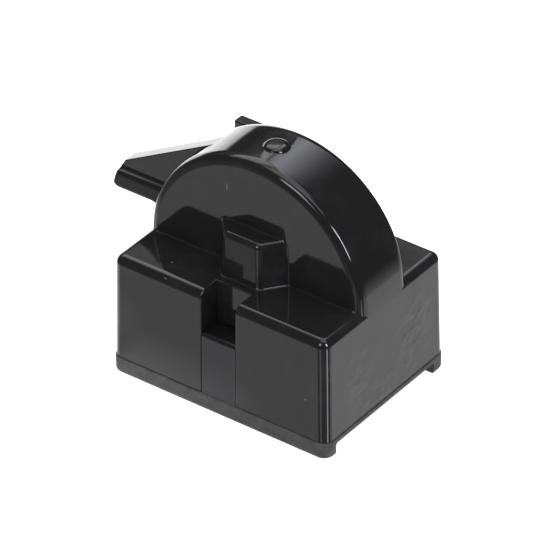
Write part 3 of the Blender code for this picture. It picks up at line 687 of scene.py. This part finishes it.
def fillet(shell, width, segments, chosen, sign=-1):
    """Round the inside corners that the test picks, or with sign 1 the outside ones."""
    bm = bmesh.new()
    bm.from_mesh(shell.data)
    edges = []
    for edge in bm.edges:
        if len(edge.link_faces) == 2 and sign * edge.calc_face_angle_signed() > LEAST_FOLD:
            if chosen(edge.verts[0].co, edge.verts[1].co):
                edges.append(edge)
    bmesh.ops.bevel(
        bm, geom=edges, offset=width, offset_type='OFFSET', segments=segments, profile=0.5,
        affect='EDGES', clamp_overlap=False, material=-1
    )
    bm.to_mesh(shell.data)
    bm.free()


def wing_corner(a, b):
    """Picks the inside corners between the web and the lip."""
    top = WING_BOTTOM + LIP_HEIGHT
    beside = abs(abs(a.y) - WEB_HALF) < TINY and abs(abs(b.y) - WEB_HALF) < TINY
    return beside and max(abs(a.z - top), abs(b.z - top)) < NEAR


def nub_foot(a, b):
    """Picks the ring where the nub meets the crown."""
    on_crown = min(a.z, b.z) > DOME_CROWN - NEAR
    return on_crown and abs(math.hypot(a.x, a.y) - NUB_FOOT) < CLOSE


def slot_rim(a, b):
    """Picks the slots' edges in the walls, and the one along their back on the ledge."""
    inner = HALF_DEPTH - SLOT_DEPTH
    across = abs(abs(a.x) - SLOT_HALF) < TINY and abs(abs(b.x) - SLOT_HALF) < TINY
    behind = abs(abs(a.y) - inner) < TINY and abs(abs(b.y) - inner) < TINY
    if behind:
        return min(a.z, b.z) > BLOCK_TOP - TINY
    return across and max(a.z, b.z) > SEAM + MM


def on_ledge(a, b):
    """Picks the corners at the foot of what stands on the ledges."""
    flat = abs(a.z - BLOCK_TOP) < TINY and abs(b.z - BLOCK_TOP) < TINY
    return flat and max(abs(a.y), abs(b.y)) < HALF_DEPTH - BLOCK_EDGE


def beside_boss(a, b):
    """Picks the corners between the boss and the dome's face."""
    in_front = max(a.y, b.y) < -DOME_HALF + NEAR and abs(a.x) < BOSS_ZONE
    return in_front and min(a.z, b.z) > BLOCK_TOP - TINY


def slot_cutter(side):
    """Cuts a snap slot in the front wall, or for side 1 in the back one."""
    y0, y1 = sorted((side * (HALF_DEPTH - SLOT_DEPTH), side * (HALF_DEPTH + OVERRUN)))
    bm = cuboid(-SLOT_HALF, SLOT_HALF, y0, y1, SEAM - OVERRUN, BLOCK_TOP + OVERRUN)
    return as_object(bm, "slot")


def rib(angle):
    """Rib that stands in from the dome's wall to hold the pill's rim."""
    outward = Vector((math.cos(angle), math.sin(angle)))
    across = Vector((-outward.y, outward.x)) * (RIB_WIDTH / 2)
    middle = Vector((0, PILL_CENTRE_Z))
    start = middle + outward * (PILL_RADIUS + GAP)
    end = middle + outward * (CHAMBER_RADIUS + 3 * OVERRUN)
    outline = (start - across, end - across, end + across, start + across)
    bm = slab([(x, -DOME_HALF, z) for x, z in outline], (0, 2 * DOME_HALF, 0))
    return as_object(bm, "rib")


def chamber():
    """The hollow of the dome, with the ribs left standing in it."""
    low = CAVITY_TOP - CHAMBER_OVERLAP
    outline = [(CHAMBER_RADIUS, low)]
    outline += arc(0, DOME_CENTRE_Z, CHAMBER_RADIUS, 0, math.pi, CHAMBER_STEPS)
    outline.append((-CHAMBER_RADIUS, low))
    bm = slab([(x, -CHAMBER_HALF, z) for x, z in outline], (0, 2 * CHAMBER_HALF, 0))
    hollow = as_object(bm, "chamber")
    for angle in RIB_ANGLES:
        combine(hollow, rib(angle), 'DIFFERENCE')
    return hollow


def inner_room():
    """The hollow of the housing: the room in the block, less the shields of the slots."""
    bm = cuboid(-CAVITY_X, CAVITY_X, -CAVITY_Y, CAVITY_Y, SEAM - OVERRUN, CAVITY_TOP)
    widen_down(bm, CAVITY_TOP)
    soften(bm, ROOM_CORNER, 4, upright)
    room = as_object(bm, "room")
    for side in (-1, 1):
        y0, y1 = sorted((side * SHIELD_Y, side * (CAVITY_Y + OVERRUN)))
        shield = cuboid(-SHIELD_X, SHIELD_X, y0, y1, SEAM - 2 * OVERRUN, CAVITY_TOP + OVERRUN)
        combine(room, as_object(shield, "shield"), 'DIFFERENCE')
    return combine(room, chamber(), 'UNION')


def tab_passage():
    """Opening in the back ledge that the spade tab comes up through."""
    bm = cuboid(
        SPADE_X - SPADE_HALF - GAP, SPADE_X + SPADE_HALF + GAP,
        SPADE_Y - SPADE_GAUGE / 2 - GAP, SPADE_Y + SPADE_GAUGE / 2 + GAP,
        CAVITY_TOP - OVERRUN / 2, BLOCK_TOP + OVERRUN
    )
    return as_object(bm, "passage")


def housing():
    """The main moulding: outer forms joined, their inside corners rounded, then the cuts."""
    shell = block()
    for make in (dome, nub, wing_lip, wing_web, boss, guard):
        combine(shell, make(), 'UNION')
    fillet(shell, FILLET, 3, lambda a, b: on_ledge(a, b) or beside_boss(a, b))
    fillet(shell, WING_FILLET, 6, wing_corner)
    fillet(shell, NUB_FILLET, 3, nub_foot)
    for side in (-1, 1):
        combine(shell, slot_cutter(side), 'DIFFERENCE')
    fillet(shell, SLOT_EDGE, 3, slot_rim, 1)
    combine(shell, inner_room(), 'DIFFERENCE')
    return combine(shell, tab_passage(), 'DIFFERENCE')


# Sizes of the cover that closes the underside
COVER_TOP = SEAM - SEAM_GAP
COVER_PROUD = 0.15 * MM
COVER_X = HALF_LENGTH + DRAFT * (BLOCK_TOP - SEAM) + COVER_PROUD
COVER_Y = HALF_DEPTH + DRAFT * (BLOCK_TOP - SEAM) + COVER_PROUD
COVER_CORNER = BLOCK_CORNER + COVER_PROUD
COVER_FOOT_EDGE = 0.45 * MM
COVER_RIM_EDGE = 0.15 * MM
COVER_FLANGE = 0.58 * MM
COVER_PLUG = 1.1 * MM
CHANNEL_TOP = COVER_TOP - COVER_FLANGE
CHANNEL_EDGE = 0.35 * MM
FRONT_SKID = 2.0 * MM
BACK_SKID = 2.6 * MM
SKID_EDGE = 0.6 * MM
PLUG_TOP = COVER_TOP + COVER_PLUG
PLUG_CORNER = 0.9 * MM
TONGUE_TOP = 11.5 * MM
TONGUE_ROOT = 0.4 * MM
TONGUE_EDGE = 0.45 * MM
TONGUE_LEFT_GAP = 0.1 * MM
TONGUE_RIGHT_GAP = 0.03 * MM
PIN_SPACING = 16.0 * MM
PIN_Y = -6.2 * MM
PIN_ENTRY_RADIUS = 1.9 * MM
SADDLE_WIDTH = 9.0 * MM
SADDLE_HALF = 1.1 * MM
SADDLE_ROOT = 0.5 * MM
SADDLE_WRAP = 1.0 * MM
PAD_HALF = 1.8 * MM
PAD_ROOT = 0.45 * MM
PAD_FRONT = -3.5 * MM
PAD_TOP = 5.2 * MM


def tongue(side):
    """Snap tongue that stands in the lower part of a slot, flush with the drafted wall."""
    def outer_top(a, b):
        on_top = min(a.z, b.z) > TONGUE_TOP - TINY
        return on_top and min(side * a.y, side * b.y) > HALF_DEPTH - MM

    y0, y1 = sorted((side * (HALF_DEPTH - SLOT_DEPTH + GAP), side * HALF_DEPTH))
    bm = cuboid(
        -SLOT_HALF + TONGUE_LEFT_GAP, SLOT_HALF - TONGUE_RIGHT_GAP, y0, y1,
        COVER_TOP - TONGUE_ROOT, TONGUE_TOP
    )
    for v in bm.verts:
        if side * v.co.y > HALF_DEPTH - TINY:
            v.co.y += side * DRAFT * (BLOCK_TOP - v.co.z)
    soften(bm, TONGUE_EDGE, 6, outer_top)
    return as_object(bm, "tongue")


def saddle():
    """Cradle on the cover's plug, under the pill."""
    bm = cuboid(
        -SADDLE_WIDTH / 2, SADDLE_WIDTH / 2, -SADDLE_HALF, SADDLE_HALF,
        PLUG_TOP - SADDLE_ROOT, PILL_CENTRE_Z - PILL_RADIUS + SADDLE_WRAP
    )
    turn = arc(0, PILL_CENTRE_Z, PILL_RADIUS + GAP, 0, 2 * math.pi, 96)[:-1]
    seat = slab([(x, -2 * SADDLE_HALF, z) for x, z in turn], (0, 4 * SADDLE_HALF, 0))
    return combine(as_object(bm, "saddle"), as_object(seat, "seat"), 'DIFFERENCE')


def skid_edge(a, b):
    """Picks the skids' inner edges, on the ground along the channel."""
    level = max(a.z, b.z) < TINY and abs(a.y - b.y) < TINY
    return level and max(abs(a.y), abs(b.y)) < COVER_Y - MM


def tray():
    """The cover's plate with the channel that leaves the front and the back skid."""
    bm = cuboid(-COVER_X, COVER_X, -COVER_Y, COVER_Y, 0, COVER_TOP)
    soften(bm, COVER_CORNER, 10, upright)
    soften(bm, COVER_FOOT_EDGE, 6, lambda a, b: max(a.z, b.z) < TINY)
    soften(bm, COVER_RIM_EDGE, 3, lambda a, b: min(a.z, b.z) > COVER_TOP - TINY)
    plate = as_object(bm, "cover_shell")

    bm = cuboid(
        -COVER_X - OVERRUN, COVER_X + OVERRUN, -COVER_Y + FRONT_SKID, COVER_Y - BACK_SKID,
        -OVERRUN, CHANNEL_TOP
    )
    soften(bm, CHANNEL_EDGE, 5, lambda a, b: min(a.z, b.z) > 0 and abs(a.y - b.y) < TINY)
    combine(plate, as_object(bm, "channel"), 'DIFFERENCE')
    fillet(plate, SKID_EDGE, 4, skid_edge, 1)
    return plate


def plug():
    """Low step that fits into the housing's opening, notched for the shields of the slots."""
    half_x = CAVITY_X - GAP
    half_y = CAVITY_Y - GAP
    bm = cuboid(-half_x, half_x, -half_y, half_y, COVER_TOP - GAP, PLUG_TOP)
    soften(bm, PLUG_CORNER, 4, upright_short)
    step = as_object(bm, "plug")
    for side in (-1, 1):
        y0, y1 = sorted((side * (SHIELD_Y - GAP), side * (HALF_DEPTH + OVERRUN)))
        notch = cuboid(
            -SHIELD_X - GAP, SHIELD_X + GAP, y0, y1, CHANNEL_TOP - OVERRUN, PLUG_TOP + OVERRUN
        )
        combine(step, as_object(notch, "notch"), 'DIFFERENCE')
    return step


def pad(centre, back):
    """Rest under the foot of the start strap or of the main terminal."""
    bm = cuboid(
        centre - PAD_HALF, centre + PAD_HALF, PAD_FRONT, back, PLUG_TOP - PAD_ROOT, PAD_TOP
    )
    return as_object(bm, "pad")


def pin_entry(side):
    """Round hole that lets a compressor pin through to its socket."""
    bm = bmesh.new()
    bmesh.ops.create_cone(
        bm, cap_ends=True, segments=64, radius1=PIN_ENTRY_RADIUS, radius2=PIN_ENTRY_RADIUS,
        depth=4 * OVERRUN
    )
    bmesh.ops.translate(bm, verts=bm.verts, vec=(side * PIN_SPACING / 2, PIN_Y, 0))
    return as_object(bm, "entry")


def cover():
    """The second moulding: tray, plug, rests, tongues and pin entries."""
    shell = tray()
    combine(shell, plug(), 'UNION')
    combine(shell, saddle(), 'UNION')
    for centre, back in ((PIN_SPACING / 2, 0), (SPADE_X, SPADE_Y)):
        combine(shell, pad(centre, back), 'UNION')
    for side in (-1, 1):
        combine(shell, tongue(side), 'UNION')
        combine(shell, pin_entry(side), 'DIFFERENCE')
    return shell


# Edges folded more than this are shaded sharp
SHARP_FROM = math.radians(32)


def stand_in(piece, node):
    """Move a piece drawn about the block's middle to the frame, and let it stand for its node."""
    for v in piece.data.vertices:
        v.co.x += MIDDLE_X
    piece.data.shade_smooth()
    piece.data.set_sharp_from_angle(angle=SHARP_FROM)
    even = piece.modifiers.new("even_normals", 'WEIGHTED_NORMAL')
    even.keep_sharp = True
    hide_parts(node)
    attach(piece, "root")
    return piece


def part_place(look):
    """Object coordinates in millimetres, measured from the middle of the block."""
    place = look.node("ShaderNodeTexCoord", {}, {}, "Object")
    place = look.node("ShaderNodeVectorMath", {"operation": 'SCALE'}, {0: place, "Scale": 1 / MM})
    return away_from(look, place, (MIDDLE_X / MM, 0, 0))


def away_from(look, place, centre):
    """The way from a centre to the place."""
    return look.node("ShaderNodeVectorMath", {"operation": 'SUBTRACT'}, {0: place, 1: centre})


def reach_of(look, place):
    """How far a place is from the origin."""
    return look.node("ShaderNodeVectorMath", {"operation": 'LENGTH'}, {0: place}, "Value")


def stretched(look, place, factors):
    """A place scaled along each axis; a smaller factor draws a pattern out."""
    return look.node("ShaderNodeVectorMath", {"operation": 'MULTIPLY'}, {0: place, 1: factors})


def grain(look, place, scale, detail=2.0, roughness=0.5):
    """Noise from nought to one, with scale in features to the millimetre."""
    return look.node("ShaderNodeTexNoise", {}, {
        "Vector": place, "Scale": scale, "Detail": detail, "Roughness": roughness
    }, 0)


def blend(look, share, first, second):
    """From the first colour to the second as the share goes from nought to one."""
    settings = {"data_type": 'RGBA', "clamp_factor": True}
    return look.node("ShaderNodeMix", settings, {0: share, 6: first, 7: second}, 2)


def specks(look, place, scale, size, share):
    """Round dots of a size in millimetres, in a share of the cells of a Voronoi pattern."""
    pattern = {"Vector": place, "Scale": scale}
    dot = look.node("ShaderNodeTexVoronoi", {}, pattern, "Distance")
    cell = look.node("ShaderNodeTexVoronoi", {}, pattern, "Color")
    chosen = smooth_step(look, along(look, cell, 0), 1.0 - share, 1.0 - share + 0.02)
    return ramp_down(look, dot, size * scale * 0.5, size * scale) * chosen


def spot(look, place, centre, factors, size):
    """One soft mark about a point, drawn out by the factors."""
    away = stretched(look, away_from(look, place, centre), factors)
    return ramp_down(look, reach_of(look, away), 0.3 * size, size)


def surface(look, colour, roughness, height, relief, metallic=0.0):
    """Close a material: relief is the height in millimetres that the bump pattern spans."""
    normal = look.node("ShaderNodeBump", {}, {
        "Strength": 1.0, "Distance": relief * MM, "Height": height
    })
    shader = look.node("ShaderNodeBsdfPrincipled", {}, {
        "Base Color": colour, "Roughness": roughness, "Normal": normal,
        "Metallic": metallic, "IOR": 1.5
    })
    look.node("ShaderNodeOutputMaterial", {}, {"Surface": shader})


BLACK = (0.0100, 0.0100, 0.0107, 1)
# Paler tone for handling marks, and for the smears that are partly painted reflection
HANDLED_AND_SHEEN = (0.0215, 0.0215, 0.0220, 1)
DUST = (0.16, 0.16, 0.165, 1)
# The lower half of the right end face, where the draft has brought it out
END_X = HALF_LENGTH / MM + 0.2
# Dust and wiped patches as the photograph shows them, the patches partly painted reflection:
# centre in millimetres, factors along the axes of which a smaller one draws the mark out, size in
# millimetres
DUST_DOTS = (
    ((13.5, -12.6, 8.1), (1, 1, 1), 0.22),
    ((-8.4, -12.2, 17.2), (0.35, 1, 1), 0.12),
    ((-4.2, -4.8, 28.6), (1, 1, 0.16), 0.13),
    ((-9.5, -9.4, 17.6), (1, 0.6, 1), 0.12),
    ((-2.2, -11.2, 17.6), (0.7, 1, 1), 0.1),
    ((11.0, -2.0, 29.9), (1, 1, 1), 0.14),
)
# Smudges low on the right end face, which also paint it paler there than at the top as painted
# reflection of the floor
SMEARS_AND_SHEEN = (
    ((END_X, -0.5, 4.2), (1, 0.35, 1), 3.2),
    ((END_X, 6.5, 9.5), (1, 0.7, 0.65), 4.5),
    ((END_X, -6.0, 9.0), (1, 0.8, 0.5), 3.0),
)


def glossy_moulding():
    """Black thermoset, glossy from a polished mould, with smears, dust and a slow waviness; the
    smears also paint the lower end face paler as painted reflection.
    """
    made = bpy.data.materials.new("glossy_moulding")
    look = Look(made)
    place = part_place(look)
    waves = grain(look, place, 0.16, 1.0)
    skin = grain(look, place, 2.6, 3.0, 0.55)
    fine = grain(look, place, 14.0, 2.0)
    handled = smooth_step(look, grain(look, place, 0.21, 4.0, 0.62), 0.48, 0.76)
    # Smears: partly real smudges, partly painted reflection that makes the lower end face paler
    smear_and_sheen = 0.0
    for centre, factors, size in SMEARS_AND_SHEEN:
        smear_and_sheen = smear_and_sheen + spot(look, place, centre, factors, size)
    wiped = grain(look, stretched(look, place, (1.0, 0.6, 0.9)), 0.75, 1.0)
    smear_and_sheen = smear_and_sheen * smooth_step(look, wiped, 0.35, 0.75)
    dirt_and_sheen = handled * 0.4 + smear_and_sheen * 0.9
    colour = blend(look, dirt_and_sheen, BLACK, HANDLED_AND_SHEEN)
    dust = specks(look, place, 0.42, 0.07, 0.16)
    for centre, factors, size in DUST_DOTS:
        dust = dust + spot(look, place, centre, factors, size)
    colour = blend(look, dust * 0.5, colour, DUST)
    roughness = 0.055 + handled * 0.045 + smear_and_sheen * 0.05 + fine * 0.03 + dust * 0.3
    height = waves + skin * 0.035 + fine * 0.002 + smear_and_sheen * 0.8
    surface(look, colour, roughness, height, 0.05)
    return made


COVER_DARK = (0.033, 0.033, 0.034, 1)
COVER_PALE = (0.062, 0.062, 0.062, 1)
# Paler tone for rubbed chips, and for the painted floor light at the foot
COVER_RUBBED_AND_FLOOR_LIT = (0.085, 0.085, 0.084, 1)
TONGUE_BLACK = (0.0125, 0.0122, 0.0150, 1)
# Painted shade for the tongues' tops, down in the slots
TIP_PAINTED_SHADE = (0.0045, 0.0045, 0.0050, 1)


def satin_cover():
    """The cover's duller moulding: cloudy, rubbed on the skids and paler there as painted floor
    light, glossier on the tongues, with painted shade on their tops.
    """
    made = bpy.data.materials.new("satin_cover")
    look = Look(made)
    place = part_place(look)
    height = along(look, place, 2)
    tongues = smooth_step(look, height, SEAM / MM - 0.05, SEAM / MM + 0.15)
    clouds = grain(look, place, 0.7, 5.0, 0.62)
    fine = grain(look, place, 9.0, 3.0, 0.6)
    drawn = grain(look, stretched(look, place, (0.25, 0.25, 1.0)), 3.0, 3.0)
    colour = blend(look, smooth_step(look, clouds, 0.3, 0.7), COVER_DARK, COVER_PALE)
    # Paler toward the foot: rubbing, with painted light from the paper under it
    rubbed_and_floor_lit = ramp_down(look, height, 0.1, 0.8) * smooth_step(look, fine, 0.35, 0.65)
    chipped = smooth_step(look, height, SEAM / MM - 0.35, SEAM / MM - 0.1)
    chipped = chipped * smooth_step(look, drawn, 0.55, 0.68)
    colour = blend(look, rubbed_and_floor_lit * 0.6 + chipped * 0.45, colour, COVER_RUBBED_AND_FLOOR_LIT)
    pits = specks(look, place, 1.1, 0.13, 0.3)
    colour = blend(look, pits * 0.5, colour, BLACK)
    # Painted shade: the tongues darken toward black near their tops, inside the slots
    painted_tip_shade = smooth_step(look, height, TONGUE_TOP / MM - 0.75, TONGUE_TOP / MM - 0.35)
    colour = blend(look, tongues, colour, blend(look, painted_tip_shade, TONGUE_BLACK, TIP_PAINTED_SHADE))
    matt = 0.42 + clouds * 0.16 + fine * 0.08 - rubbed_and_floor_lit * 0.1
    glossy = 0.1 + clouds * 0.08 + fine * 0.04 + painted_tip_shade * 0.15
    roughness = matt + (glossy - matt) * tongues
    coarse = (clouds * 0.4 + fine * 0.25 + drawn * 0.3 - pits * 0.5) * (1.0 - tongues * 0.93)
    surface(look, colour, roughness, coarse, 0.03)
    return made


def rolled_strip(name, bright, dull, direction, tarnish):
    """Metal strip with rolling lines along it, a satin sheen and a cloudy tarnish."""
    made = bpy.data.materials.new(name)
    look = Look(made)
    place = part_place(look)
    lines = grain(look, stretched(look, place, direction), 9.0, 4.0, 0.6)
    clouds = smooth_step(look, grain(look, place, 0.55, 4.0, 0.6), 0.42, 0.72)
    stains = specks(look, place, 0.9, 0.2, 0.22)
    share = clouds * tarnish + lines * 0.25 + stains * 0.35
    colour = blend(look, share, bright, dull)
    roughness = 0.2 + lines * 0.16 + clouds * 0.12 + stains * 0.15
    surface(look, colour, roughness, lines - stains * 0.3, 0.012, 1.0)
    return made


FIRED_DARK = (0.16, 0.15, 0.14, 1)
FIRED_PALE = (0.30, 0.285, 0.26, 1)
SILVER_BRIGHT = (0.62, 0.61, 0.59, 1)
SILVER_DULL = (0.48, 0.47, 0.45, 1)
BARE_RIM = 0.75


def silvered_ceramic():
    """Fired disc: silver on both faces short of the edge, bare speckled ceramic at the rim."""
    made = bpy.data.materials.new("silvered_ceramic")
    look = Look(made)
    low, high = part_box("ptc_disc")
    middle = (low + high) / 2
    radius = (high.x - low.x) / 2 / MM
    place = part_place(look)
    centre = ((middle.x - MIDDLE_X) / MM, middle.y / MM, middle.z / MM)
    flat = reach_of(look, stretched(look, away_from(look, place, centre), (1, 0, 1)))
    ragged = grain(look, place, 1.6, 3.0)
    silver = ramp_down(look, flat + ragged * 0.3, radius - BARE_RIM, radius - BARE_RIM + 0.15)
    fine = grain(look, place, 6.0, 3.0)
    fired = blend(look, fine, FIRED_DARK, FIRED_PALE)
    screened = blend(look, grain(look, place, 0.5, 4.0), SILVER_BRIGHT, SILVER_DULL)
    colour = blend(look, silver, fired, screened)
    roughness = 0.75 - silver * 0.35 + fine * 0.1
    surface(look, colour, roughness, fine + silver * 0.8, 0.02)
    return made


SPRING_BRIGHT = (0.66, 0.65, 0.63, 1)
SPRING_DULL = (0.42, 0.41, 0.40, 1)
SOCKET_BRIGHT = (0.64, 0.63, 0.61, 1)
SOCKET_DULL = (0.40, 0.39, 0.37, 1)
BRASS_BRIGHT = (0.74, 0.69, 0.52, 1)
BRASS_DULL = (0.46, 0.40, 0.26, 1)

FINISHES = {
    "housing": glossy_moulding(),
    "base_cover": satin_cover(),
    "ptc_disc": silvered_ceramic(),
    "springs": rolled_strip("bright_spring", SPRING_BRIGHT, SPRING_DULL, (1, 1, 0.06), 0.35),
    "sockets": rolled_strip("rolled_socket", SOCKET_BRIGHT, SOCKET_DULL, (1, 1, 0.05), 0.3),
    "brass": rolled_strip("tinned_brass", BRASS_BRIGHT, BRASS_DULL, (0.06, 1, 1), 0.45),
}
NODE_SLOTS = {
    "housing": "housing", "base_cover": "base_cover", "ptc_disc": "ptc_disc",
    "start_spring": "springs", "main_spring": "springs", "start_socket": "sockets",
    "main_socket": "sockets", "start_strap": "brass", "main_terminal": "brass",
}


def dress(piece, slot):
    """Give a piece the finish of its slot."""
    piece.data.materials.clear()
    piece.data.materials.append(FINISHES[slot])


for name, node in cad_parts.items():
    dress(node, NODE_SLOTS[name])
dress(stand_in(housing(), "housing"), "housing")
dress(stand_in(cover(), "base_cover"), "base_cover")
